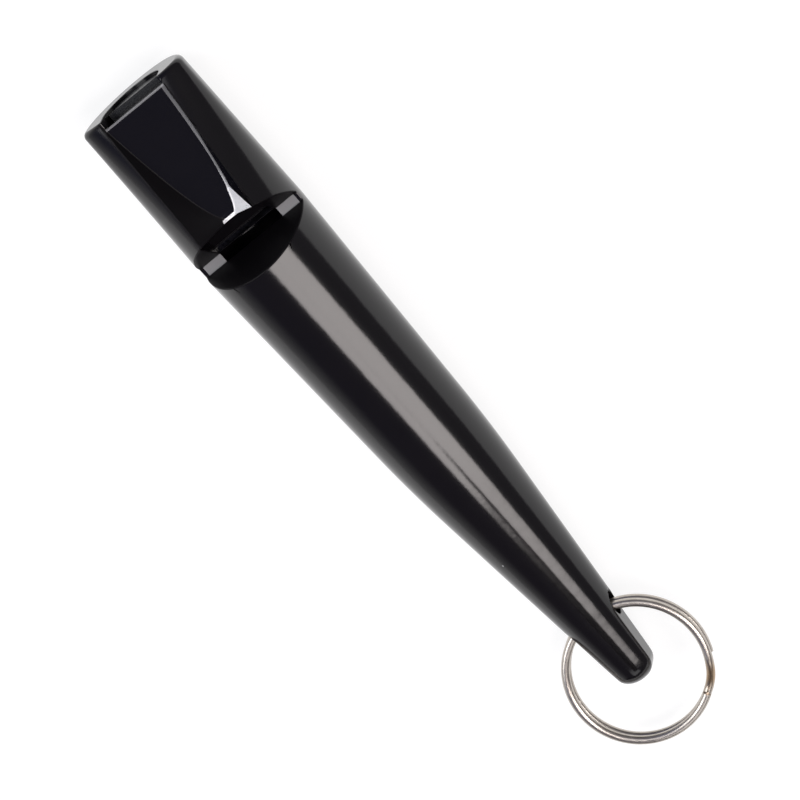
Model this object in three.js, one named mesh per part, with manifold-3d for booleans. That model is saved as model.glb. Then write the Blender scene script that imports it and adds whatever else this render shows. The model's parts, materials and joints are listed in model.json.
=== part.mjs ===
// A dog whistle: a moulded body, a windway block, a pitch plug and a split ring through the tail.
// Sizes are in millimetres. The pieces are drawn on the whistle's own axis, with the mouth end at
// x = 0, the tail towards +X and the window facing +Z. The whistle is then laid on its underside.

import * as THREE from 'three';
import { mergeVertices } from 'three/addons/utils/BufferGeometryUtils.js';
import Module from 'manifold-3d';

// Outside of the body
const BODY_LENGTH = 82;
const BODY_DIAMETER = 13.6;
const BARREL_LENGTH = 19.5;
const KNEE_FROM_TIP = 31;
const KNEE_DIAMETER = 11.1;
const KNEE_BLEND = 5;
const NECK_FROM_TIP = 9.3;
const NECK_DIAMETER = 6.6;
const NUB_FROM_TIP = 7.4;
const NUB_WIDTH = 5.5;
const TIP_LENGTH = 1.9;
const TIP_WIDTH = 4.3;
const TIP_HEIGHT = 5;
const LIP_ROUND = 0.7;

// Beak and its recess, as heights above the axis
const BEAK_LENGTH = 18;
const BEAK_HEIGHT = 2.4;
const RECESS_WIDTH = 8.3;
const RECESS_REAR_WIDTH = 7.5;
const RECESS_TIP = 0.8;
const RECESS_CURVE = 0.46;
const RECESS_FLOOR = 1.75;
const ROOF_SETBACK = 1;

// Notch and window
const NOTCH_START = 16.4;
const NOTCH_FLOOR = 0.65;
const ROOF_BEVEL = 1.6;
const WINDOW_LENGTH = 1.8;
const LEDGE_LENGTH = 1.05;
const FLANK_ANGLE = 63.5;
const RAMP_ANGLE = 70;
const SHOULDER_ROUND = 0.8;

// Bore, windway and chamber
const BORE_WIDTH = 7.8;
const BORE_ROOF = 0.75;
const BORE_END_WALL = 1.2;
const WINDWAY_ENTRY = 2.1;
const WINDWAY_EXIT = 0.9;
const BLOCK_SETBACK = 0.4;
const CHAMBER_LENGTH = 13;
const PLUG_LENGTH = 6;
const BOND_GAP = 0.1;

// Split ring and the tail hole that it runs through
const RING_DIAMETER = 16.2;
const WIRE_DIAMETER = 0.95;
const TURN_GAP = 0.42;
const JOGGLE_START = 34;
const JOGGLE_SPAN = 28;
const END_SPACE = 2;
const HOLE_FROM_TIP = 8.3;
const HOLE_CLEARANCE = 0.2;
const COUNTERSINK = 0.3;
const COUNTERSINK_DEPTH = 0.5;

// Fineness of the facets
const BODY_SIDES = 40;
const ARC_STEPS = 6;
const RECESS_STEPS = 14;
const HOLE_SIDES = 32;
const WIRE_SIDES = 10;
const WIRE_STEPS = 128;
const OVERCUT = 1;

const bodyRadius = BODY_DIAMETER / 2;
const boreRadius = BORE_WIDTH / 2;
const windowX = NOTCH_START + ROOF_BEVEL;
const footX = windowX + WINDOW_LENGTH;
const holeX = BODY_LENGTH - HOLE_FROM_TIP;
const kneeX = BODY_LENGTH - KNEE_FROM_TIP;
const neckX = BODY_LENGTH - NECK_FROM_TIP;
const nubX = BODY_LENGTH - NUB_FROM_TIP;
const tipX = BODY_LENGTH - TIP_LENGTH;
const ringRadius = (RING_DIAMETER - WIRE_DIAMETER) / 2;
const turnRise = WIRE_DIAMETER + TURN_GAP;

const wasm = await Module();
wasm.setup();

// Turns a closed geometry into a solid that can be joined and cut.
function solidOf(geometry) {
  const bare = geometry.clone();
  bare.deleteAttribute('normal');
  bare.deleteAttribute('uv');
  const merged = mergeVertices(bare, 1e-4);
  const corners = [];
  for (let i = 0; i < merged.index.count; i += 3) {
    const [a, b, c] = [0, 1, 2].map((k) => merged.index.getX(i + k));
    if (a !== b && b !== c && c !== a) corners.push(a, b, c);
  }
  return new wasm.Manifold(new wasm.Mesh({
    numProp: 3,
    vertProperties: new Float32Array(merged.attributes.position.array),
    triVerts: new Uint32Array(corners),
  }));
}

// Turns a solid back into a geometry.
function geometryOf(solid) {
  const mesh = solid.getMesh();
  const geometry = new THREE.BufferGeometry();
  geometry.setAttribute('position', new THREE.BufferAttribute(mesh.vertProperties, 3));
  geometry.setIndex(new THREE.BufferAttribute(mesh.triVerts, 1));
  geometry.computeVertexNormals();
  return geometry;
}

// Extrudes a shape drawn across the whistle, in (y, z), from one x to another.
function alongAxis(shape, fromX, toX) {
  const geometry = new THREE.ExtrudeGeometry(shape, {
    depth: toX - fromX,
    bevelEnabled: false,
    curveSegments: BODY_SIDES / 4,
  });
  const turned = new THREE.Matrix4().makeBasis(
    new THREE.Vector3(0, 1, 0),
    new THREE.Vector3(0, 0, 1),
    new THREE.Vector3(1, 0, 0),
  );
  return geometry.applyMatrix4(turned).translate(fromX, 0, 0);
}

// Extrudes a shape drawn along the whistle, in (x, z), over a width centred on the axis.
function acrossAxis(shape, width) {
  const geometry = new THREE.ExtrudeGeometry(shape, {
    depth: width,
    bevelEnabled: false,
    curveSegments: ARC_STEPS,
  });
  const turned = new THREE.Matrix4().makeBasis(
    new THREE.Vector3(1, 0, 0),
    new THREE.Vector3(0, 0, 1),
    new THREE.Vector3(0, -1, 0),
  );
  return geometry.applyMatrix4(turned).translate(0, width / 2, 0);
}

// Skins a row of loops, each with the same number of points, and closes both ends.
function loft(loops) {
  const count = loops[0].length;
  const corners = [];
  for (let s = 0; s + 1 < loops.length; s += 1) {
    for (let k = 0; k < count; k += 1) {
      const here = s * count + k;
      const next = s * count + ((k + 1) % count);
      corners.push(here, next, here + count);
      corners.push(next, next + count, here + count);
    }
  }
  const last = (loops.length - 1) * count;
  for (let k = 1; k + 1 < count; k += 1) {
    corners.push(0, k + 1, k);
    corners.push(last, last + k, last + k + 1);
  }
  const geometry = new THREE.BufferGeometry().setFromPoints(loops.flat());
  geometry.setIndex(corners);
  return geometry;
}

// The taper: a slow cone to the knee, a rounded knee and a faster cone to the neck.
function taperPoints() {
  const barrelEnd = new THREE.Vector2(bodyRadius, BARREL_LENGTH);
  const knee = new THREE.Vector2(KNEE_DIAMETER / 2, kneeX);
  const neck = new THREE.Vector2(NECK_DIAMETER / 2, neckX);
  const before = knee.clone().lerp(barrelEnd, KNEE_BLEND / (kneeX - BARREL_LENGTH));
  const after = knee.clone().lerp(neck, KNEE_BLEND / (neckX - kneeX));
  const blend = new THREE.QuadraticBezierCurve(before, knee, after);
  return [barrelEnd, ...blend.getPoints(ARC_STEPS), neck];
}

// The radius of the cone that runs on from the neck to the tip.
function tailRadius(x) {
  return THREE.MathUtils.mapLinear(x, neckX, tipX, NECK_DIAMETER / 2, TIP_HEIGHT / 2);
}

// The tail past the neck: the cone on to the nub, and the rounded tip.
function tailPoints() {
  const points = [new THREE.Vector2(tailRadius(nubX), nubX)];
  for (let k = 0; k <= ARC_STEPS; k += 1) {
    const turn = (k / ARC_STEPS) * (Math.PI / 2);
    const radius = k === ARC_STEPS ? 0 : (TIP_HEIGHT / 2) * Math.cos(turn);
    points.push(new THREE.Vector2(radius, tipX + TIP_LENGTH * Math.sin(turn)));
  }
  return points;
}

// The tail's width as a share of its height: it is pared at its sides past the ring hole.
function tailShare(x) {
  const nubShare = NUB_WIDTH / (2 * tailRadius(nubX));
  const stepped = THREE.MathUtils.clamp((x - neckX) / (nubX - neckX), 0, 1);
  const tapered = THREE.MathUtils.clamp((x - nubX) / (tipX - nubX), 0, 1);
  const share = THREE.MathUtils.lerp(1, nubShare, stepped);
  return THREE.MathUtils.lerp(share, TIP_WIDTH / TIP_HEIGHT, tapered);
}

// The rounded edge of the mouth end.
function lipPoints() {
  const points = [new THREE.Vector2(0, 0)];
  for (let k = 0; k <= ARC_STEPS; k += 1) {
    const turn = (k / ARC_STEPS) * (Math.PI / 2);
    const radius = bodyRadius - LIP_ROUND * (1 - Math.sin(turn));
    points.push(new THREE.Vector2(radius, LIP_ROUND * (1 - Math.cos(turn))));
  }
  return points;
}

// The height of the beak's crown over the axis at a distance from the mouth.
function crownAt(x) {
  const share = THREE.MathUtils.clamp(x / BEAK_LENGTH, 0, 1);
  return BEAK_HEIGHT + (bodyRadius - BEAK_HEIGHT) * share;
}

// The body turned on the axis, with its upper half flattened into the beak and its tail pared.
function outerForm() {
  const beakEnd = new THREE.Vector2(bodyRadius, BEAK_LENGTH);
  const profile = [...lipPoints(), beakEnd, ...taperPoints(), ...tailPoints()];
  const geometry = new THREE.LatheGeometry(profile, BODY_SIDES, Math.PI / BODY_SIDES);
  geometry.rotateZ(-Math.PI / 2);
  const place = geometry.attributes.position;
  for (let i = 0; i < place.count; i += 1) {
    const x = place.getX(i);
    const rise = place.getZ(i);
    if (rise > 0) place.setZ(i, (rise * crownAt(x)) / bodyRadius);
    place.setY(i, place.getY(i) * tailShare(x));
  }
  return geometry;
}

// The D-shaped bore, drawn smaller all round by a gap where a piece has to go into it.
function boreShape(gap) {
  const radius = boreRadius - gap;
  const shape = new THREE.Shape();
  shape.moveTo(-radius, BORE_ROOF - gap);
  shape.lineTo(-radius, 0);
  shape.absarc(0, 0, radius, Math.PI, 2 * Math.PI, false);
  shape.lineTo(radius, BORE_ROOF - gap);
  shape.closePath();
  return shape;
}

// Where the taper has come down to a radius.
function taperReaches(radius) {
  const points = taperPoints();
  const next = points.findIndex((point) => point.x <= radius);
  const [a, b] = [points[next - 1], points[next]];
  return THREE.MathUtils.mapLinear(radius, a.x, b.x, a.y, b.y);
}

// The recess over the windway: a flat floor that narrows along a curve, and walls that slope outwards
// and cross the beak's surface along two straight rims.
function recessForm() {
  const apex = NOTCH_START / (1 - (RECESS_TIP / RECESS_WIDTH) ** (1 / RECESS_CURVE));
  const end = (NOTCH_START + apex) / 2;
  const top = bodyRadius + OVERCUT;
  const loops = [];
  for (let k = 0; k <= RECESS_STEPS; k += 1) {
    const x = THREE.MathUtils.lerp(-OVERCUT, end, k / RECESS_STEPS);
    const along = Math.max(x, 0);
    const floorHalf = (RECESS_WIDTH / 2) * (1 - along / apex) ** RECESS_CURVE;
    const rimHalf = THREE.MathUtils.lerp(RECESS_WIDTH, RECESS_REAR_WIDTH, along / NOTCH_START) / 2;
    const rimShare = Math.sqrt(1 - (rimHalf / bodyRadius) ** 2);
    const wallRise = crownAt(x) * rimShare - RECESS_FLOOR;
    const wallRun = (rimHalf - floorHalf) / wallRise;
    const topHalf = floorHalf + wallRun * (top - RECESS_FLOOR);
    const outline = [
      [-floorHalf, RECESS_FLOOR], [floorHalf, RECESS_FLOOR], [topHalf, top], [-topHalf, top],
    ];
    loops.push(outline.map(([y, z]) => new THREE.Vector3(x, y, z)));
  }
  return loft(loops);
}

// The roof of the windway stands back from the mouth end.
function roofSetbackForm() {
  const shape = new THREE.Shape();
  const low = BORE_ROOF / 2;
  shape.moveTo(-boreRadius, low);
  shape.lineTo(boreRadius, low);
  shape.lineTo(boreRadius, bodyRadius);
  shape.lineTo(-boreRadius, bodyRadius);
  shape.closePath();
  return alongAxis(shape, -OVERCUT, ROOF_SETBACK);
}

// The notch right across the body: a leaning flank, a narrow level ledge, and a steep ramp with a
// round shoulder.
function notchForm() {
  const slope = Math.tan(THREE.MathUtils.degToRad(RAMP_ANGLE));
  const flankSlope = Math.tan(THREE.MathUtils.degToRad(FLANK_ANGLE));
  const crown = bodyRadius;
  const shoulder = crown - SHOULDER_ROUND;
  const bend = footX + (crown - NOTCH_FLOOR) / slope;
  const top = bodyRadius + OVERCUT;
  const ledge = footX - LEDGE_LENGTH;
  const shape = new THREE.Shape();
  shape.moveTo(ledge, NOTCH_FLOOR);
  shape.lineTo(footX, NOTCH_FLOOR);
  shape.lineTo(footX + (shoulder - NOTCH_FLOOR) / slope, shoulder);
  shape.quadraticCurveTo(bend, crown, bend + SHOULDER_ROUND, crown);
  shape.lineTo(bend + SHOULDER_ROUND, top);
  shape.lineTo(ledge - (top - NOTCH_FLOOR) / flankSlope, top);
  shape.closePath();
  return acrossAxis(shape, BODY_DIAMETER + 2 * OVERCUT);
}

// The cut over the windway's roof: a square face, and a bevel that thins the roof to its lip.
function roofFaceForm() {
  const top = bodyRadius + OVERCUT;
  const shape = new THREE.Shape();
  shape.moveTo(NOTCH_START, RECESS_FLOOR);
  shape.lineTo(windowX, NOTCH_FLOOR);
  shape.lineTo(footX, NOTCH_FLOOR);
  shape.lineTo(footX, top);
  shape.lineTo(NOTCH_START, top);
  shape.closePath();
  return acrossAxis(shape, BORE_WIDTH);
}

// How far the ring's curve carries the wire along the whistle, from the middle of the tail hole to
// its mouths.
function ringBow() {
  const half = NECK_DIAMETER / 2;
  return ringRadius - Math.sqrt(ringRadius ** 2 - half ** 2);
}

// How far the wire reaches from the hole's axis, which halves that bow.
function ringReach() {
  return Math.hypot(ringBow() / 2, turnRise / 2) + WIRE_DIAMETER / 2;
}

// The tail hole along Y, countersunk at both ends.
function holeForm() {
  const radius = ringReach() + HOLE_CLEARANCE;
  const wide = radius + COUNTERSINK;
  const mouth = NECK_DIAMETER / 2;
  const outside = mouth + OVERCUT;
  const flare = wide + (OVERCUT * COUNTERSINK) / COUNTERSINK_DEPTH;
  const half = [[0, outside], [flare, outside], [radius, mouth - COUNTERSINK_DEPTH]];
  const upper = half.map(([r, y]) => new THREE.Vector2(r, y)).reverse();
  const lower = half.map(([r, y]) => new THREE.Vector2(r, -y));
  return new THREE.LatheGeometry([...lower, ...upper], HOLE_SIDES).translate(holeX, 0, 0);
}

function bodyGeometry() {
  const boreEnd = taperReaches(boreRadius + BORE_END_WALL);
  const cuts = [
    alongAxis(boreShape(0), -OVERCUT, boreEnd),
    recessForm(),
    roofSetbackForm(),
    notchForm(),
    roofFaceForm(),
    holeForm(),
  ];
  const body = cuts.reduce((left, cut) => left.subtract(solidOf(cut)), solidOf(outerForm()));
  return geometryOf(body);
}

// The block under the windway: the bore's section, planed down along its top.
function blockGeometry() {
  const block = solidOf(alongAxis(boreShape(BOND_GAP), BLOCK_SETBACK, windowX));
  const plane = new THREE.Shape();
  plane.moveTo(-OVERCUT, BORE_ROOF - WINDWAY_ENTRY);
  plane.lineTo(0, BORE_ROOF - WINDWAY_ENTRY);
  plane.lineTo(windowX, BORE_ROOF - WINDWAY_EXIT);
  plane.lineTo(windowX + OVERCUT, BORE_ROOF - WINDWAY_EXIT);
  plane.lineTo(windowX + OVERCUT, BORE_ROOF + OVERCUT);
  plane.lineTo(-OVERCUT, BORE_ROOF + OVERCUT);
  plane.closePath();
  return geometryOf(block.subtract(solidOf(acrossAxis(plane, BORE_WIDTH + 2 * OVERCUT))));
}

// The plug that closes the chamber.
function plugGeometry() {
  const face = windowX + CHAMBER_LENGTH;
  return alongAxis(boreShape(BOND_GAP), face, face + PLUG_LENGTH);
}

// The ring's wire: a lower turn, a joggle that climbs, and an upper turn that ends just before
// the joggle. The curve is centred on the ring.
class RingPath extends THREE.Curve {
  getPoint(t, target = new THREE.Vector3()) {
    const start = JOGGLE_START + JOGGLE_SPAN + END_SPACE;
    const end = JOGGLE_START - END_SPACE + 720;
    const degrees = THREE.MathUtils.lerp(start, end, t);
    const climb = (degrees - 360 - JOGGLE_START) / JOGGLE_SPAN;
    const rise = THREE.MathUtils.smoothstep(climb, 0, 1) - 0.5;
    const turn = THREE.MathUtils.degToRad(degrees);
    return target.set(
      ringRadius * Math.cos(turn),
      ringRadius * Math.sin(turn),
      turnRise * rise,
    );
  }
}

// The least gap between the wire's two turns, on points along the wire.
function turnClearance(path) {
  const points = path.getPoints(4 * WIRE_STEPS);
  const apart = Math.round(points.length / 4);
  let least = Infinity;
  points.forEach((point, i) => {
    for (let j = i + apart; j < points.length; j += 1) {
      least = Math.min(least, point.distanceTo(points[j]));
    }
  });
  return least - WIRE_DIAMETER;
}

function ringGeometry() {
  const path = new RingPath();
  console.log(`split_ring: least gap between its turns ${turnClearance(path).toFixed(3)} mm`);
  const section = new THREE.Shape().absarc(0, 0, WIRE_DIAMETER / 2, 0, 2 * Math.PI, false);
  return new THREE.ExtrudeGeometry(section, {
    extrudePath: path,
    steps: WIRE_STEPS,
    curveSegments: WIRE_SIDES / 2,
  });
}

function piece(name, geometry, look) {
  const mesh = new THREE.Mesh(geometry, new THREE.MeshStandardMaterial(look));
  mesh.name = name;
  return mesh;
}

const blackGloss = { color: 0x131114, roughness: 0.12, metalness: 0 };
const innerBlack = { color: 0x17161a, roughness: 0.3, metalness: 0 };
const platedSteel = { color: 0xb9b4ae, roughness: 0.16, metalness: 1 };

const ring = piece('split_ring', ringGeometry(), platedSteel);
ring.position.set(holeX + ringRadius - ringBow() / 2, 0, 0);

// The whistle lies on the line under its slow taper, which tips the mouth end up a little.
const whistle = new THREE.Group();
whistle.add(
  piece('body', bodyGeometry(), blackGloss),
  piece('windway_block', blockGeometry(), innerBlack),
  piece('pitch_plug', plugGeometry(), innerBlack),
  ring,
);
const facetShare = Math.cos(Math.PI / BODY_SIDES);
const drop = (bodyRadius - KNEE_DIAMETER / 2) * facetShare;
whistle.rotation.y = Math.atan2(drop, kneeX - BARREL_LENGTH);

// The origin is under the middle of the whole, on the surface that it lies on.
const box = new THREE.Box3().setFromObject(whistle, true);
const middle = box.getCenter(new THREE.Vector3());
whistle.position.set(-middle.x, -middle.y, -box.min.z);

const part = new THREE.Group();
part.add(whistle);

export default part;
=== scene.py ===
# Dog whistle: black moulded body, windway block, pitch plug and split ring
import json
import math

import bmesh
import bpy
from mathutils import Matrix, Vector


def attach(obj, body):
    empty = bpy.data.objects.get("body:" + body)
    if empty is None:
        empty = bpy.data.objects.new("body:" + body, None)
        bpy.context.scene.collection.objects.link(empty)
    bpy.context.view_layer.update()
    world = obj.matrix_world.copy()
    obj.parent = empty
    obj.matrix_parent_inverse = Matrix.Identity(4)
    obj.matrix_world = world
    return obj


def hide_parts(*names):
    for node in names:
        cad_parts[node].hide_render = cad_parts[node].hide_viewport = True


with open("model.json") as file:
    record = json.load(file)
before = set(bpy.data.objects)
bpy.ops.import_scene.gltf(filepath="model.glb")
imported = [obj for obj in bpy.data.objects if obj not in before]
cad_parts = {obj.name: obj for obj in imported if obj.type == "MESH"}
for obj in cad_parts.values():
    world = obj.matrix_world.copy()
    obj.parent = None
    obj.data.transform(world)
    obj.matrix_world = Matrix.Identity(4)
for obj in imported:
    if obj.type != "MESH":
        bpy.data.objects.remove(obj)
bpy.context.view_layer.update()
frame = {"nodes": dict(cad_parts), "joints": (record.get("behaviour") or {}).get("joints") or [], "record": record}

# Sizes in millimetres. X runs along the whistle from the mouth, Z comes up out of the window.
BODY_LENGTH = 82
BODY_RADIUS = 6.765
BARREL_LENGTH = 19.5
KNEE = (51, 5.53, 5)
NECK = (72.7, 3.29, 0.7)
NUB = (74.4, 3.1, 0.7)
NUB_HALF_WIDTH = 2.72
TIP_LENGTH = 1.9
TIP_RADIUS = 2.49
TIP_HALF_WIDTH = 2.14
TIP_EASE = 0.4
TIP_TURN = (0.5, 0.965)
BARREL_EASE = 0.25
STATION_SPACING = 1
LIP_ROUND = 0.7
BEAK_LENGTH = 18
BEAK_HEIGHT = 2.4
RECESS_WIDTH = 8.3
RECESS_REAR_WIDTH = 7.2
RECESS_TIP = 0.8
RECESS_CURVE = 0.46
RECESS_FLOOR = 1.75
GLINT_START = 13.7
ROOF_SETBACK = 1
NOTCH_START = 16.4
NOTCH_FLOOR = 0.65
ROOF_BEVEL = 1.6
WINDOW_LENGTH = 1.8
LEDGE_LENGTH = 1.05
LEDGE_REACH = 6.3
ROOF_EDGE_REACH = 4
FLANK_ANGLE = math.radians(63.5)
RAMP_ANGLE = math.radians(68)
BORE_RADIUS = 3.9
BORE_ROOF = 0.75
BORE_END = 55.6
HOLE_X = 73.7
HOLE_RADIUS = 1.36
COUNTERSINK = 0.1
COUNTERSINK_DEPTH = 0.3
EDGE_ROUND = 0.07
EDGE_ANGLE = math.radians(32)
SMOOTH_ANGLE = math.radians(16)
RING_RADIUS = 7.615
RING_X = 80.95
WIRE_RADIUS = 0.475
WIRE_END_ROUND = 0.12
WIRE_SMOOTH_ANGLE = math.radians(40)
TURN_RISE = 1.3
JOGGLE_START = math.radians(34)
JOGGLE_SPAN = math.radians(28)
END_SPACE = math.radians(2)
OVERCUT = 1
RECESS_APEX = NOTCH_START / (1 - (RECESS_TIP / RECESS_WIDTH) ** (1 / RECESS_CURVE))
WINDOW_X = NOTCH_START + ROOF_BEVEL
FOOT_X = WINDOW_X + WINDOW_LENGTH

# Fineness
BODY_SIDES = 144
ARC_STEPS = 10
RECESS_STEPS = 48
HOLE_SIDES = 64
WIRE_SIDES = 20
TURN_STEPS = 132
JOGGLE_STEPS = 16

# The photograph's view and the lamps. The view's width and the lamps' distance are in metres.
VIEW_BACK = math.radians(9)
VIEW_SIDE = math.radians(16.3)
VIEW_ROLL = math.radians(48.46)
VIEW_LENS = 600
VIEW_SENSOR = 36
VIEW_WIDTH = 0.08346
VIEW_MIDDLE_X = 42.8
LAMP_DISTANCE = 1.2
NEUTRAL = (1, 1, 1)
WARM = (1, 0.935, 0.915)

# The whistle lies tipped by the angle of its mouth face, with its tail hole at the ring's hinge.
mouth_axis = frame["record"]["mounts"][0]["axis"]
TILT = math.atan2(mouth_axis[2], -mouth_axis[0])
HINGE = Vector(frame["joints"][0]["pos_m"])
TIPPED = Matrix.Rotation(TILT, 4, "Y")
PLACE = (
    Matrix.Translation(HINGE)
    @ TIPPED
    @ Matrix.Translation((-HOLE_X * 0.001, 0, 0))
    @ Matrix.Scale(0.001, 4)
)


# Modelling by hand

def start_piece(name):
    """Take the primitive that was just added, name it and put its place into its mesh."""
    piece = bpy.context.object
    piece.name = name
    piece.data.name = name
    bpy.ops.object.transform_apply(location=True, rotation=True, scale=True)
    bpy.ops.object.mode_set(mode="EDIT")
    bpy.ops.mesh.select_all(action="SELECT")
    return piece


def leave_edit():
    bpy.ops.object.mode_set(mode="OBJECT")
    bpy.ops.object.select_all(action="DESELECT")


def pick(piece, test):
    """Select, in edit mode, the points that pass a test, and the edges and faces between them."""
    mesh = bmesh.from_edit_mesh(piece.data)
    for point in mesh.verts:
        point.select_set(test(point.co))
    mesh.select_flush(True)
    mesh.select_flush(False)
    bmesh.update_edit_mesh(piece.data)


def draw_out(x, y, z):
    bpy.ops.mesh.extrude_region_move(TRANSFORM_OT_translate={"value": (x, y, z)})


def squeeze(x, y, z, centre):
    bpy.ops.transform.resize(value=(x, y, z), center_override=centre)


def turned_form(name, stations, sides):
    """A disc drawn out along X from station to station, each with its own radius."""
    x, radius = stations[0]
    bpy.ops.mesh.primitive_circle_add(
        vertices=sides, radius=radius, fill_type="NGON", location=(x, 0, 0), rotation=(0, math.pi / 2, 0)
    )
    piece = start_piece(name)
    for next_x, next_radius in stations[1:]:
        draw_out(next_x - x, 0, 0)
        share = next_radius / radius
        squeeze(1, share, share, (next_x, 0, 0))
        x, radius = next_x, next_radius
    return piece


def traced_outline(name, points):
    """An outline traced point by point from one vertex, then filled."""
    bpy.ops.mesh.primitive_plane_add(size=1, location=points[0])
    piece = start_piece(name)
    bpy.ops.mesh.merge(type="CENTER")
    for here, there in zip(points, points[1:]):
        step = [b - a for a, b in zip(here, there)]
        draw_out(*step)
    bpy.ops.mesh.select_all(action="SELECT")
    bpy.ops.mesh.edge_face_add()
    return piece


def face_outwards():
    bpy.ops.mesh.select_all(action="SELECT")
    bpy.ops.mesh.remove_doubles(threshold=0.0005)
    bpy.ops.mesh.normals_make_consistent(inside=False)


def cut_away(piece, cutter):
    """Take a cutter's form out of a piece, then throw the cutter away."""
    bpy.context.view_layer.objects.active = piece
    cut = piece.modifiers.new("cut", "BOOLEAN")
    cut.operation = "DIFFERENCE"
    cut.solver = "EXACT"
    cut.object = cutter
    bpy.ops.object.modifier_apply(modifier=cut.name)
    bpy.data.objects.remove(cutter)


def put_in_place(piece):
    """Bring a piece from millimetres in the whistle's axes into the model's frame."""
    piece.matrix_world = PLACE
    bpy.ops.object.select_all(action="DESELECT")
    piece.select_set(True)
    bpy.context.view_layer.objects.active = piece
    bpy.ops.object.transform_apply(location=True, rotation=True, scale=True)


# Body

def eased_run(corners, spacing):
    """Stations along straight runs whose inner corners are eased over their own reach."""
    stations = [corners[0][:2]]
    for before, corner, after in zip(corners, corners[1:], corners[2:]):
        here = Vector(corner[:2])
        back = Vector(before[:2]) - here
        ahead = Vector(after[:2]) - here
        start = here + back.normalized() * corner[2]
        end = here + ahead.normalized() * corner[2]
        last = Vector(stations[-1])
        pieces = max(1, round((start - last).length / spacing))
        for k in range(1, pieces):
            stations.append(tuple(last.lerp(start, k / pieces)))
        for k in range(ARC_STEPS + 1):
            t = k / ARC_STEPS
            stations.append(tuple(start.lerp(here, t).lerp(here.lerp(end, t), t)))
    stations.append(corners[-1][:2])
    return stations


def body_stations():
    """The outline turned into the body: lip, barrel, slow taper, knee, fast taper, nub and round tip."""
    stations = []
    for k in range(ARC_STEPS + 1):
        turn = k / ARC_STEPS * math.pi / 2
        radius = BODY_RADIUS - LIP_ROUND * (1 - math.sin(turn))
        stations.append((LIP_ROUND * (1 - math.cos(turn)), radius))
    tip_start = BODY_LENGTH - TIP_LENGTH
    corners = [
        (LIP_ROUND, BODY_RADIUS, 0),
        (BARREL_LENGTH, BODY_RADIUS, BARREL_EASE),
        KNEE,
        NECK,
        NUB,
        (tip_start, TIP_RADIUS, TIP_EASE),
        (tip_start + TIP_TURN[0], TIP_RADIUS * TIP_TURN[1], 0),
    ]
    stations += eased_run(corners, STATION_SPACING)[1:-1]
    for k in range(2, ARC_STEPS + 1):
        turn = k / ARC_STEPS * math.pi / 2
        radius = max(TIP_RADIUS * math.cos(turn), 0.02)
        stations.append((tip_start + TIP_LENGTH * math.sin(turn), radius))
    return stations


def crown_at(x):
    """The height of the beak's crown over the axis."""
    share = min(max(x / BEAK_LENGTH, 0), 1)
    return BEAK_HEIGHT + (BODY_RADIUS - BEAK_HEIGHT) * share


def flatten_beak(piece, stations):
    for x, _ in stations:
        if x < BEAK_LENGTH:
            pick(piece, lambda p: abs(p.x - x) < 0.001 and p.z > 0.001)
            squeeze(1, 1, crown_at(x) / BODY_RADIUS, (x, 0, 0))


def cheek_at(x, radius):
    """Half the tail's width between its pared cheeks, stepped down beside the ring hole."""
    tip_start = BODY_LENGTH - TIP_LENGTH
    stepped = min(max((x - NECK[0]) / (NUB[0] - NECK[0]), 0), 1)
    tapered = min(max((x - NUB[0]) / (tip_start - NUB[0]), 0), 1)
    straight = NUB_HALF_WIDTH + (TIP_HALF_WIDTH - NUB_HALF_WIDTH) * tapered
    width = NECK[1] + (straight - NECK[1]) * stepped * stepped * (3 - 2 * stepped)
    return min(width, radius * TIP_HALF_WIDTH / TIP_RADIUS) if x > tip_start else width


def pare_tail(piece, stations):
    """Press the tail flat at its two cheeks, past the neck."""
    for x, radius in stations:
        if x > NECK[0]:
            cheek = cheek_at(x, radius)
            for side in (1, -1):
                pick(piece, lambda p: abs(p.x - x) < 0.001 and p.y * side > cheek)
                squeeze(1, 0, 1, (x, cheek * side, 0))


def recess_halves(x):
    """Half the recess's width on its floor, and up at the cutter's top."""
    along = max(x, 0)
    floor = RECESS_WIDTH / 2 * (1 - along / RECESS_APEX) ** RECESS_CURVE
    rim = (RECESS_WIDTH + (RECESS_REAR_WIDTH - RECESS_WIDTH) * along / NOTCH_START) / 2
    rim_height = crown_at(x) * math.sqrt(1 - (rim / BODY_RADIUS) ** 2)
    slope = (rim - floor) / (rim_height - RECESS_FLOOR)
    top = floor + slope * (BODY_RADIUS + OVERCUT - RECESS_FLOOR)
    return floor, top


def recess_cutter():
    """A flat floor that narrows along a curve, with walls that lean outwards."""
    top_z = BODY_RADIUS + OVERCUT
    x = -OVERCUT
    floor, top = recess_halves(x)
    corners = [(x, -floor, RECESS_FLOOR), (x, floor, RECESS_FLOOR), (x, top, top_z), (x, -top, top_z)]
    cutter = traced_outline("recess_cutter", corners)
    run = (NOTCH_START + RECESS_APEX) / 2 + OVERCUT
    for k in range(1, RECESS_STEPS + 1):
        next_x = run * (1 - (1 - k / RECESS_STEPS) ** 1.6) - OVERCUT
        next_floor, next_top = recess_halves(next_x)
        draw_out(next_x - x, 0, 0)
        pick(cutter, lambda p: abs(p.x - next_x) < 0.001 and p.z < RECESS_FLOOR + 0.1)
        squeeze(1, next_floor / floor, 1, (next_x, 0, 0))
        pick(cutter, lambda p: abs(p.x - next_x) < 0.001 and p.z > top_z - 0.1)
        squeeze(1, next_top / top, 1, (next_x, 0, 0))
        pick(cutter, lambda p: abs(p.x - next_x) < 0.001)
        x, floor, top = next_x, next_floor, next_top
    face_outwards()
    leave_edit()
    return cutter


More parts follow.
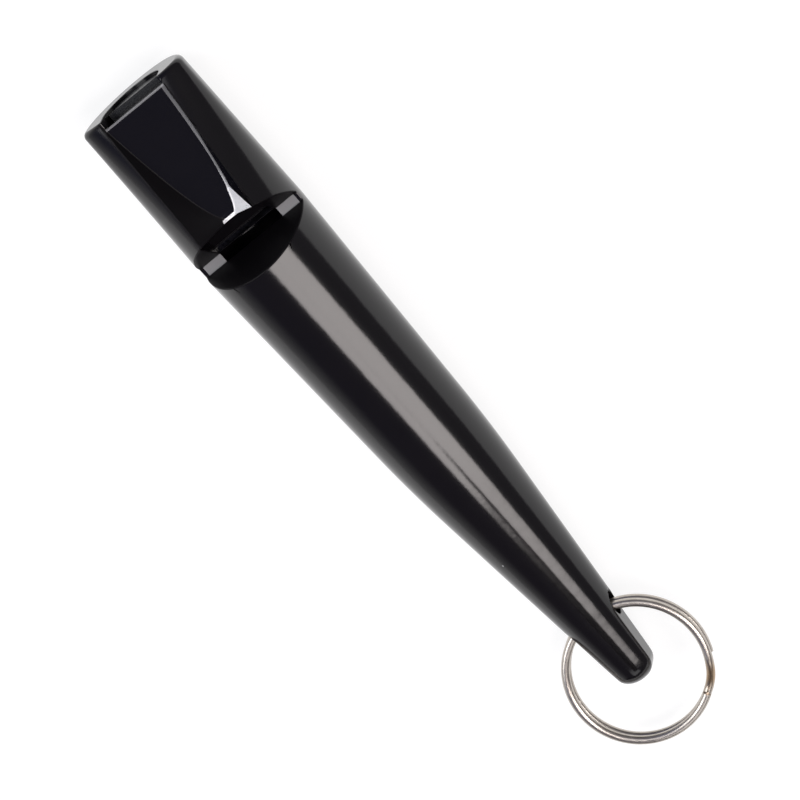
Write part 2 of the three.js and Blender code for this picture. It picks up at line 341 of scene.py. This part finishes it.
def setback_cutter():
    """The roof of the windway stands back from the mouth end."""
    low = BORE_ROOF / 2
    corners = [
        (-OVERCUT, -BORE_RADIUS, low),
        (-OVERCUT, BORE_RADIUS, low),
        (-OVERCUT, BORE_RADIUS, BODY_RADIUS),
        (-OVERCUT, -BORE_RADIUS, BODY_RADIUS),
    ]
    cutter = traced_outline("setback_cutter", corners)
    draw_out(OVERCUT + ROOF_SETBACK, 0, 0)
    face_outwards()
    leave_edit()
    return cutter


def drawn_across(name, outline, half_width):
    """A cutter with an outline in X and Z, drawn out across the whistle."""
    cutter = traced_outline(name, [(x, -half_width, z) for x, z in outline])
    draw_out(0, 2 * half_width, 0)
    face_outwards()
    leave_edit()
    return cutter


def notch_cutter():
    """The notch right across: a leaning flank, a narrow ledge and a steep ramp."""
    top = BODY_RADIUS + OVERCUT
    depth = top - NOTCH_FLOOR
    ledge = FOOT_X - LEDGE_LENGTH
    outline = [
        (ledge, NOTCH_FLOOR),
        (FOOT_X, NOTCH_FLOOR),
        (FOOT_X + depth / math.tan(RAMP_ANGLE), top),
        (ledge - depth / math.tan(FLANK_ANGLE), top),
    ]
    return drawn_across("notch_cutter", outline, BODY_RADIUS + OVERCUT)


def roof_face_cutter():
    """The cut over the windway's roof: a square face, and a bevel that thins the roof to its lip."""
    top = BODY_RADIUS + OVERCUT
    outline = [
        (NOTCH_START, RECESS_FLOOR),
        (WINDOW_X, NOTCH_FLOOR),
        (FOOT_X, NOTCH_FLOOR),
        (FOOT_X, top),
        (NOTCH_START, top),
    ]
    return drawn_across("roof_face_cutter", outline, BORE_RADIUS - 0.02)


def bore_cutter():
    """The bore: round below, straight up to a flat roof."""
    outline = [(-BORE_RADIUS, BORE_ROOF)]
    for k in range(2 * ARC_STEPS + 1):
        turn = math.pi * (1 + k / (2 * ARC_STEPS))
        outline.append((BORE_RADIUS * math.cos(turn), BORE_RADIUS * math.sin(turn)))
    outline.append((BORE_RADIUS, BORE_ROOF))
    cutter = traced_outline("bore_cutter", [(-OVERCUT, y, z) for y, z in outline])
    draw_out(OVERCUT + BORE_END, 0, 0)
    face_outwards()
    leave_edit()
    return cutter


def hole_cutter():
    """The tail hole across the whistle, countersunk at both mouths."""
    mouth = NECK[1]
    wide = HOLE_RADIUS + COUNTERSINK * (1 + OVERCUT / COUNTERSINK_DEPTH)
    inner = mouth - COUNTERSINK_DEPTH
    stations = [
        (-mouth - OVERCUT, wide),
        (-inner, HOLE_RADIUS),
        (inner, HOLE_RADIUS),
        (mouth + OVERCUT, wide),
    ]
    cutter = turned_form("hole_cutter", stations, HOLE_SIDES)
    face_outwards()
    leave_edit()
    cutter.matrix_world = Matrix.Translation((HOLE_X, 0, 0)) @ Matrix.Rotation(math.pi / 2, 4, "Z")
    cutter.select_set(True)
    bpy.context.view_layer.objects.active = cutter
    bpy.ops.object.transform_apply(location=True, rotation=True, scale=True)
    bpy.ops.object.select_all(action="DESELECT")
    return cutter


def round_edges(piece, width):
    """Break every sharp edge by a small round."""
    bpy.context.view_layer.objects.active = piece
    bevel = piece.modifiers.new("edges", "BEVEL")
    bevel.width = width
    bevel.segments = 2
    bevel.limit_method = "ANGLE"
    bevel.angle_limit = EDGE_ANGLE
    bevel.use_clamp_overlap = False
    bevel.miter_outer = "MITER_ARC"
    bpy.ops.object.modifier_apply(modifier=bevel.name)


def even_shading(piece, angle):
    """Shade smooth up to an angle, and keep the flat faces flat beside their rounded edges."""
    bpy.ops.object.shade_smooth_by_angle(angle=angle)
    normals = piece.modifiers.new("normals", "WEIGHTED_NORMAL")
    normals.mode = "FACE_AREA_WITH_ANGLE"
    normals.keep_sharp = True
    bpy.ops.object.modifier_apply(modifier=normals.name)


def moulded_body():
    stations = body_stations()
    body = turned_form("moulded_body", stations, BODY_SIDES)
    bpy.ops.mesh.merge(type="CENTER")
    flatten_beak(body, stations)
    pare_tail(body, stations)
    face_outwards()
    leave_edit()
    tools = (bore_cutter, recess_cutter, setback_cutter, notch_cutter, roof_face_cutter, hole_cutter)
    for tool in tools:
        cut_away(body, tool())
    bpy.context.view_layer.objects.active = body
    bpy.ops.object.mode_set(mode="EDIT")
    face_outwards()
    leave_edit()
    round_edges(body, EDGE_ROUND)
    put_in_place(body)
    even_shading(body, SMOOTH_ANGLE)
    return body


# Split ring

def round_wire_ends(ring):
    """Break the edges of the two cut ends."""
    mesh = bmesh.from_edit_mesh(ring.data)
    for face in mesh.faces:
        face.select_set(len(face.verts) == WIRE_SIDES)
    bmesh.update_edit_mesh(ring.data)
    bpy.ops.mesh.bevel(offset=WIRE_END_ROUND, segments=3, affect="EDGES")


def wound_ring():
    """Two turns of wire: a lower turn, a joggle that climbs, and an upper turn."""
    bpy.ops.mesh.primitive_circle_add(
        vertices=WIRE_SIDES,
        radius=WIRE_RADIUS,
        fill_type="NGON",
        location=(RING_RADIUS, 0, -TURN_RISE / 2),
        rotation=(math.pi / 2, 0, 0),
    )
    ring = start_piece("wound_ring")
    turn = 2 * math.pi - JOGGLE_SPAN - END_SPACE
    bpy.ops.mesh.spin(steps=TURN_STEPS, angle=-turn, center=(0, 0, 0), axis=(0, 0, 1))
    risen = 0
    for k in range(1, JOGGLE_STEPS + 1):
        share = k / JOGGLE_STEPS
        rise = TURN_RISE * share * share * (3 - 2 * share)
        bpy.ops.mesh.spin(steps=1, angle=-JOGGLE_SPAN / JOGGLE_STEPS, center=(0, 0, 0), axis=(0, 0, 1))
        bpy.ops.transform.translate(value=(0, 0, rise - risen))
        risen = rise
    bpy.ops.mesh.spin(steps=TURN_STEPS, angle=-turn, center=(0, 0, 0), axis=(0, 0, 1))
    face_outwards()
    round_wire_ends(ring)
    face_outwards()
    leave_edit()
    start = JOGGLE_START + JOGGLE_SPAN + END_SPACE
    ring.matrix_world = Matrix.Translation((RING_X, 0, 0)) @ Matrix.Rotation(start, 4, "Z")
    ring.select_set(True)
    bpy.context.view_layer.objects.active = ring
    bpy.ops.object.transform_apply(location=True, rotation=True, scale=True)
    put_in_place(ring)
    bpy.ops.object.shade_smooth_by_angle(angle=WIRE_SMOOTH_ANGLE)
    return ring


# Materials

class Wire:
    """A socket that sums can be written on: each operator adds one Math node."""

    def __init__(self, shades, socket):
        self.shades = shades
        self.socket = socket

    def sum(self, operation, first, second):
        return self.shades.add("ShaderNodeMath", {"operation": operation}, {0: first, 1: second})

    def __add__(self, other):
        return self.sum("ADD", self, other)

    def __radd__(self, other):
        return self.sum("ADD", other, self)

    def __sub__(self, other):
        return self.sum("SUBTRACT", self, other)

    def __rsub__(self, other):
        return self.sum("SUBTRACT", other, self)

    def __mul__(self, other):
        return self.sum("MULTIPLY", self, other)

    def __rmul__(self, other):
        return self.sum("MULTIPLY", other, self)

    def __gt__(self, other):
        return self.sum("GREATER_THAN", self, other)

    def __lt__(self, other):
        return self.sum("LESS_THAN", self, other)

    def __truediv__(self, other):
        return self.sum("DIVIDE", self, other)

    def __pow__(self, other):
        return self.sum("POWER", self, other)

    def least(self, other):
        return self.sum("MINIMUM", self, other)

    def most(self, other):
        return self.sum("MAXIMUM", self, other)


class Shades:
    """A node tree that is filled by one method."""

    def __init__(self, tree):
        self.tree = tree
        tree.nodes.clear()

    def add(self, kind, settings, sockets, output=0):
        """Add a node, make its settings, then fill its sockets, and give back one output."""
        node = self.tree.nodes.new(kind)
        for name, value in settings.items():
            if name == "stops":
                self.set_stops(node.color_ramp, value)
            else:
                setattr(node, name, value)
        for name, value in sockets.items():
            if isinstance(value, Wire):
                self.tree.links.new(value.socket, node.inputs[name])
            else:
                node.inputs[name].default_value = value
        return Wire(self, node.outputs[output]) if len(node.outputs) else None

    def set_stops(self, ramp, stops):
        while len(ramp.elements) < len(stops):
            ramp.elements.new(0.5)
        for element, (place, colour) in zip(ramp.elements, stops):
            element.position = place
            element.color = colour

    def whistle_axes(self):
        """The point being shaded, in millimetres in the whistle's own axes."""
        back = PLACE.inverted()
        place = self.add("ShaderNodeTexCoord", {}, {}, "Object")
        return self.add("ShaderNodeMapping", {"vector_type": "POINT"}, {
            "Vector": place,
            "Location": back.to_translation(),
            "Rotation": (0, -TILT, 0),
            "Scale": (1000, 1000, 1000),
        })

    def split(self, vector):
        return [self.add("ShaderNodeSeparateXYZ", {}, {0: vector}, axis) for axis in "XYZ"]

    def noise(self, place, scale, detail):
        sockets = {"Vector": place, "Scale": scale, "Detail": detail}
        return self.add("ShaderNodeTexNoise", {}, sockets, "Fac")

    def ramp(self, value, low, high):
        """A value carried from 0 at low to 1 at high, held at both ends."""
        return self.add("ShaderNodeMapRange", {"clamp": True}, {0: value, 1: low, 2: high, 3: 0, 4: 1})

    def blend(self, share, first, second):
        return self.add("ShaderNodeMix", {"data_type": "RGBA"}, {0: share, 6: first, 7: second}, 2)

    def surface(self, sockets):
        shader = self.add("ShaderNodeBsdfPrincipled", {}, sockets)
        self.add("ShaderNodeOutputMaterial", {}, {"Surface": shader})


def new_material(name):
    material = bpy.data.materials.new(name)
    material.use_nodes = True
    return material, Shades(material.node_tree)


def rim_at(x):
    """How far each rim of the recess lies from the middle plane."""
    return RECESS_WIDTH / 2 - (RECESS_WIDTH - RECESS_REAR_WIDTH) / 2 / NOTCH_START * x


def past_floor(x, y):
    """How far a point lies past the curved edge of the recess's floor, on the +Y side."""
    return y - RECESS_WIDTH / 2 * (1 - x / RECESS_APEX).most(0) ** RECESS_CURVE


def painted_recess_glint(x, y, z):
    """A painted highlight: a three-cornered white patch painted on the narrow end of the recess's +Y wall, and a
    pale painted line along the roof's rear edge at its tip.
    """
    over_floor = (z > RECESS_FLOOR - 0.04) * (x < NOTCH_START + 0.08)
    under_line = y < 2.2 + 0.42 * (x - GLINT_START)
    painted_glint = (y > 0) * under_line * (past_floor(x, y) > -0.15) * (x > GLINT_START)
    tip = (y > -0.95) * (y < 0.6) * (x > 16.1)
    return over_floor * painted_glint.most(tip)


def cut_faces(x, y, z):
    """The notch's flank, its ramp and the bevel of the windway's roof, which are less polished."""
    from_flank = x + (z - NOTCH_FLOOR) / math.tan(FLANK_ANGLE) - (FOOT_X - LEDGE_LENGTH)
    from_ramp = x - (z - NOTCH_FLOOR) / math.tan(RAMP_ANGLE) - FOOT_X
    faces = (from_flank * from_flank).least(from_ramp * from_ramp) < 0.02
    bevel = (z < RECESS_FLOOR - 0.05) * (x > NOTCH_START) * (x < WINDOW_X)
    bevel = bevel * (y * y < BORE_RADIUS * BORE_RADIUS)
    return faces.most(bevel) * (z > NOTCH_FLOOR - 0.05)


def painted_wall_streak(shades, x, y, z):
    """How strongly a pale painted highlight streak lies along the foot of the recess's +Y wall: brighter and
    brighter towards the painted glint patch.
    """
    past = past_floor(x, y)
    fringe = 0.4 - 0.3 * shades.ramp(x, 1, 10)
    foot = (past > 0 - fringe) * (past < 0.36) * (y < rim_at(x) - 0.02)
    low = (z > RECESS_FLOOR - 0.03) * (z < RECESS_FLOOR + 0.6)
    strength = 0.13 + 0.15 * shades.ramp(x, 1, 12) + 0.5 * shades.ramp(x, 11.5, GLINT_START)
    along = (x > ROOF_SETBACK) * (x < GLINT_START)
    return foot * low * along * strength


def painted_roof_edge_glint(x, y, z):
    """A painted highlight: a pale line along the thin front edge of the windway's roof."""
    along = (x > ROOF_SETBACK - 0.05) * (x < ROOF_SETBACK + 0.22)
    return along * (z > RECESS_FLOOR - 0.12) * (y * y < ROOF_EDGE_REACH * ROOF_EDGE_REACH)


def dust(shades, place):
    """A few grains of dust."""
    spacing = shades.add("ShaderNodeTexVoronoi", {}, {"Vector": place, "Scale": 0.3}, "Distance")
    chance = shades.add("ShaderNodeTexVoronoi", {}, {"Vector": place, "Scale": 0.3}, "Color")
    red = shades.split(chance)[0]
    return (spacing < 0.035) * (red > 0.75)


def black_gloss():
    """Polished black moulding with a faint mottle, a little dust and less polished cut faces, with painted
    highlights on the ledges, the roof's front edge, the foot of the recess's +Y wall and the white patch at its
    narrow end, and a little painted light on the -Y wall.
    """
    material, shades = new_material("black_gloss")
    place = shades.whistle_axes()
    x, y, z = shades.split(place)
    mottle = shades.noise(place, 0.35, 3)
    grain = shades.noise(place, 6, 4)
    # Painted highlight: the white glint patch on the recess's +Y wall, broken up a little by the grain.
    painted_glint = painted_recess_glint(x, y, z) * shades.ramp(grain, 0.2, 0.4)
    # Painted light: the recess's -Y wall, and a band just past its rim that fades outwards, are painted a little
    # lighter; they are also less polished.
    far_wall = shades.ramp(y + rim_at(x), -0.45, -0.05) * (past_floor(x, 0 - y) > -0.1) * (y < 0)
    far_wall = far_wall * (z > RECESS_FLOOR - 0.05) * (x > 0) * (x < NOTCH_START)
    # Painted highlight: the two narrow ledges beside the window are painted pale grey, as if lit, and are also
    # less polished.
    ledge = (x > FOOT_X - LEDGE_LENGTH) * (x < FOOT_X + 0.05) * (y * y > BORE_RADIUS * BORE_RADIUS)
    ledge = ledge * (y * y < LEDGE_REACH * LEDGE_REACH) * (z > NOTCH_FLOOR - 0.1) * (z < NOTCH_FLOOR + 0.12)
    wall = painted_wall_streak(shades, x, y, z)
    colour = shades.blend(mottle, (0.002, 0.0016, 0.0023, 1), (0.0034, 0.0028, 0.0037, 1))
    colour = shades.blend(far_wall, colour, (0.0056, 0.005, 0.006, 1))
    # Painted highlight on the ledges.
    colour = shades.blend(ledge, colour, (0.2, 0.2, 0.205, 1))
    # Painted highlight along the front edge of the windway's roof.
    colour = shades.blend(painted_roof_edge_glint(x, y, z), colour, (0.16, 0.16, 0.165, 1))
    # Painted highlight: a pale streak along the foot of the recess's +Y wall.
    colour = shades.blend(wall, colour, (0.85, 0.85, 0.86, 1))
    # Painted highlight: the white patch at the narrow end of the recess's +Y wall.
    colour = shades.blend(painted_glint, colour, (0.93, 0.93, 0.94, 1))
    colour = shades.blend(dust(shades, place), colour, (0.3, 0.3, 0.3, 1))
    ripple = shades.noise(place, 0.9, 2)
    bump = shades.add("ShaderNodeBump", {}, {"Strength": 0.08, "Distance": 0.0001, "Height": ripple})
    gloss = shades.add("ShaderNodeBsdfPrincipled", {}, {
        "Base Color": colour, "Roughness": 0.13 + 0.04 * grain, "IOR": 1.5, "Normal": bump,
    })
    dull = shades.add("ShaderNodeBsdfPrincipled", {}, {
        "Base Color": colour, "Roughness": 0.36 + 0.1 * grain, "Specular IOR Level": 0.12, "Normal": bump,
    })
    from_rim = y - rim_at(x)
    near_rim = (from_rim * from_rim < 0.02) * (z > RECESS_FLOOR) * (x < NOTCH_START) * (x > ROOF_SETBACK)
    dulled = ledge.most(painted_glint).most(far_wall).most(near_rim).most(cut_faces(x, y, z))
    both = shades.add("ShaderNodeMixShader", {}, {0: dulled, 1: gloss, 2: dull})
    shades.add("ShaderNodeOutputMaterial", {}, {"Surface": both})
    return material


def inner_black():
    """Black moulding as it comes from the mould, less polished."""
    material, shades = new_material("inner_black")
    place = shades.whistle_axes()
    mottle = shades.noise(place, 0.8, 3)
    grain = shades.noise(place, 9, 3)
    colour = shades.blend(mottle, (0.004, 0.004, 0.0045, 1), (0.008, 0.0075, 0.0085, 1))
    bump = shades.add("ShaderNodeBump", {}, {"Strength": 0.2, "Distance": 0.00005, "Height": grain})
    shades.surface({"Base Color": colour, "Roughness": 0.22 + 0.12 * grain, "IOR": 1.5, "Normal": bump})
    return material


def plated_steel():
    """Bright nickel on drawn wire, with fine rubbing and a warmer tone where it is worn."""
    material, shades = new_material("plated_steel")
    place = shades.whistle_axes()
    wear = shades.noise(place, 1.4, 4)
    rub = shades.noise(place, 14, 3)
    joggle = JOGGLE_START + JOGGLE_SPAN / 2
    from_joggle = shades.add("ShaderNodeVectorMath", {"operation": "DISTANCE"}, {
        0: place, 1: (RING_X + RING_RADIUS * math.cos(joggle), RING_RADIUS * math.sin(joggle), 0),
    }, "Value")
    bared = (1 - shades.ramp(from_joggle, 0.8, 2.4)) * (0.4 + 0.6 * wear)
    colour = shades.blend(wear, (0.42, 0.385, 0.34, 1), (0.62, 0.575, 0.52, 1))
    colour = shades.blend(bared, colour, (0.36, 0.22, 0.10, 1))
    bump = shades.add("ShaderNodeBump", {}, {"Strength": 0.06, "Distance": 0.00005, "Height": rub})
    shades.surface({"Base Color": colour, "Metallic": 1.0, "Roughness": 0.25 + 0.1 * rub, "Normal": bump})
    return material


# Studio

def towards(axial, lateral):
    """A direction in the model's frame, from its angle towards the tail and its angle from +Z to +Y."""
    along, across = math.radians(axial), math.radians(lateral)
    ray = Vector((math.sin(along), math.cos(along) * math.sin(across), math.cos(along) * math.cos(across)))
    return TIPPED.to_3x3() @ ray


def aim(thing, place, back, up):
    """Stand a thing at a place with its back axis and its up axis along two directions."""
    back = back.normalized()
    across = up.cross(back).normalized()
    true_up = back.cross(across)
    turn = Matrix((across, true_up, back)).transposed().to_4x4()
    thing.matrix_world = Matrix.Translation(place) @ turn


def photo_camera():
    """A long lens at the photograph's angle: back from square, and to the side."""
    level = math.cos(VIEW_BACK)
    view = Vector((-math.sin(VIEW_BACK), level * math.sin(VIEW_SIDE), level * math.cos(VIEW_SIDE)))
    along = (Vector((1, 0, 0)) - view.x * view).normalized()
    across = view.cross(along)
    up = math.cos(VIEW_ROLL) * across - math.sin(VIEW_ROLL) * along
    data = bpy.data.cameras.new("photo_camera")
    data.lens = VIEW_LENS
    data.sensor_width = VIEW_SENSOR
    data.clip_start = 0.01
    data.clip_end = 20
    camera = bpy.data.objects.new("photo_camera", data)
    bpy.context.scene.collection.objects.link(camera)
    turn = TIPPED.to_3x3()
    middle = PLACE @ Vector((VIEW_MIDDLE_X, 0, 0))
    distance = VIEW_WIDTH * VIEW_LENS / VIEW_SENSOR
    aim(camera, middle + turn @ view * distance, turn @ view, turn @ up)
    bpy.context.scene.camera = camera


def softbox(name, axial, lateral, width, height, radiance, tint):
    """A lit panel facing the whistle: width runs across it and height along it."""
    data = bpy.data.lights.new(name, "AREA")
    data.color = tint
    data.shape = "RECTANGLE"
    data.size = width
    data.size_y = height
    data.energy = radiance * width * height * math.pi
    lamp = bpy.data.objects.new(name, data)
    bpy.context.scene.collection.objects.link(lamp)
    ray = towards(axial, lateral)
    aim(lamp, ray * LAMP_DISTANCE, ray, Vector((1, 0, 0)))
    lamp.visible_camera = False


def white_floor():
    """A pale sheet that is white to the camera and in reflections, and keeps the whistle's shadow."""
    bpy.ops.object.select_all(action="DESELECT")
    bpy.ops.mesh.primitive_plane_add(size=6, location=(0, 0, -0.00002))
    floor = start_piece("floor")
    bpy.ops.mesh.subdivide(number_cuts=3)
    leave_edit()
    material, shades = new_material("white_sheet")
    straight = shades.add("ShaderNodeLightPath", {}, {}, "Is Camera Ray")
    mirrored = shades.add("ShaderNodeLightPath", {}, {}, "Is Glossy Ray")
    through = shades.add("ShaderNodeLightPath", {}, {}, "Is Transmission Ray")
    seen = straight + mirrored + through
    sheet = shades.add("ShaderNodeBsdfDiffuse", {}, {"Color": (0.25, 0.25, 0.25, 1)})
    glow = shades.add("ShaderNodeEmission", {}, {"Color": 0.8 * seen, "Strength": 1})
    both = shades.add("ShaderNodeAddShader", {}, {0: sheet, 1: glow})
    shades.add("ShaderNodeOutputMaterial", {}, {"Surface": both})
    floor.data.materials.append(material)


def only_in_reflections(card):
    card.visible_camera = False
    card.visible_diffuse = False
    card.visible_shadow = False
    card.visible_transmission = False


def dark_bar(name, axial, lateral, distance, width, height):
    """A black bar between the whistle and a lamp, seen only as a dark line in the gloss."""
    bpy.ops.object.select_all(action="DESELECT")
    bpy.ops.mesh.primitive_plane_add(size=1)
    card = start_piece(name)
    squeeze(width, height, 1, (0, 0, 0))
    leave_edit()
    ray = towards(axial, lateral)
    aim(card, ray * distance, ray, Vector((1, 0, 0)))
    material, shades = new_material(name)
    black = shades.add("ShaderNodeBsdfDiffuse", {}, {"Color": (0.005, 0.005, 0.005, 1)})
    shades.add("ShaderNodeOutputMaterial", {}, {"Surface": black})
    card.data.materials.append(material)
    only_in_reflections(card)


def studio_world():
    """A dim room that pales towards the horizon on -Y, except beyond the tail."""
    world = bpy.data.worlds.new("studio")
    world.use_nodes = True
    bpy.context.scene.world = world
    shades = Shades(world.node_tree)
    ray = shades.add("ShaderNodeTexCoord", {}, {}, "Generated")
    x, y, z = shades.split(ray)
    height = shades.ramp(z, 0.02, 0.5)
    ceiling = shades.blend(shades.ramp(x, 0.12, 0.24), (0.07, 0.085, 0.17, 1), (0.13, 0.12, 0.15, 1))
    horizon = shades.blend(shades.ramp(x, 0.4, 0.6), (0.7, 0.69, 0.7, 1), (0.03, 0.03, 0.03, 1))
    left = shades.blend(height, horizon, ceiling)
    right = shades.blend(height, (0.2, 0.19, 0.21, 1), (0.19, 0.185, 0.2, 1))
    tone = shades.blend(shades.ramp(y, 0.1, 0.6), left, right)
    room = shades.add("ShaderNodeBackground", {}, {"Color": tone, "Strength": 1.0})
    shades.add("ShaderNodeOutputWorld", {}, {"Surface": room})


# Assembly

def dress(piece, body, node, material):
    piece.data.materials.clear()
    piece.data.materials.append(material)
    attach(piece, body)
    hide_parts(node)


bpy.ops.object.select_all(action="DESELECT")
bpy.context.scene.view_settings.view_transform = "Standard"
photo_camera()
studio_world()
white_floor()
softbox("main_softbox", 14.2, 22.5, width=1.134, height=0.436, radiance=7.4, tint=WARM)
softbox("fill_softbox", -24, -36, width=0.75, height=0.7, radiance=4, tint=NEUTRAL)
softbox("tail_softbox", 47, -10, width=0.7, height=0.826, radiance=1.2, tint=NEUTRAL)
softbox("ring_softbox", -14, 6, width=0.69, height=0.51, radiance=1, tint=NEUTRAL)
dark_bar("softbox_bar", 21.8, 13.8, distance=1.1, width=0.12, height=0.2)
dark_bar("tail_bar", 32.9, 2.4, distance=0.179, width=0.054, height=0.058)

dress(moulded_body(), "whistle", "body", black_gloss())
dress(wound_ring(), "ring", "split_ring", plated_steel())
inner = inner_black()
for node in ("windway_block", "pitch_plug"):
    for slot in frame["nodes"][node].material_slots:
        slot.material = inner
